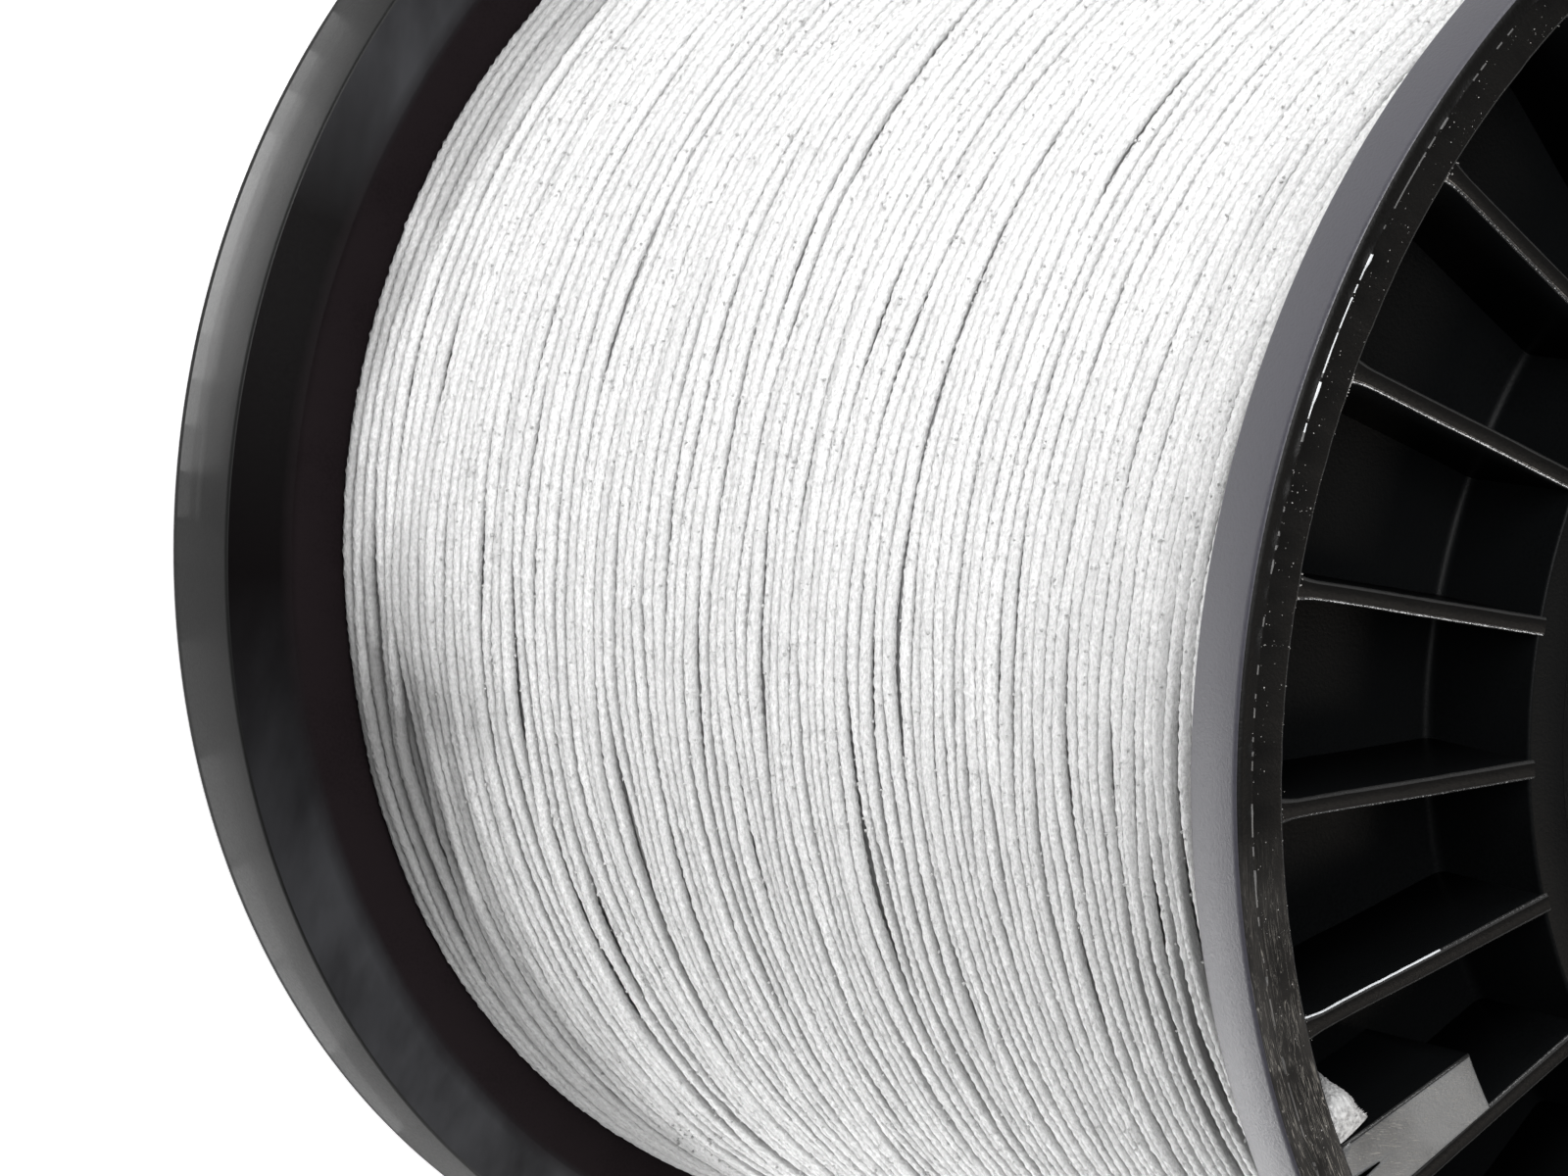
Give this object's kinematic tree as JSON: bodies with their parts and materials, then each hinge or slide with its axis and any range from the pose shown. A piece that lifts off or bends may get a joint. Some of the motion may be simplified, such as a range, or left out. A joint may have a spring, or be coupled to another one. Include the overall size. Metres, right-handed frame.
{
  "type": "string reel",
  "caption": "Black plastic reel with ribbed flanges on a hollow barrel, wound full with white braided racket string, its free end parked in a slot of one flange.",
  "frame": {"origin": "centre of the far flange's end face, which the reel stands on", "axes": "+Z along the reel's axis from the far flange up to the near flange, whose pocket holds the string's free end; +X along the middle of a rib"},
  "size_m": [0.075, 0.075, 0.0736],
  "materials": {
    "flange_plastic": "black injection-moulded plastic with a satin gloss",
    "barrel_plastic": "dark grey extruded tube, matt",
    "string": "white braided multifilament nylon with a fine coated sheen"
  },
  "bodies": {
    "root": {"near_flange": "flange_plastic", "far_flange": "flange_plastic", "barrel": "barrel_plastic", "string_inner_layers": "string", "string_outer_turns": "string", "string_free_end": "string"}
  },
  "joints": []
}
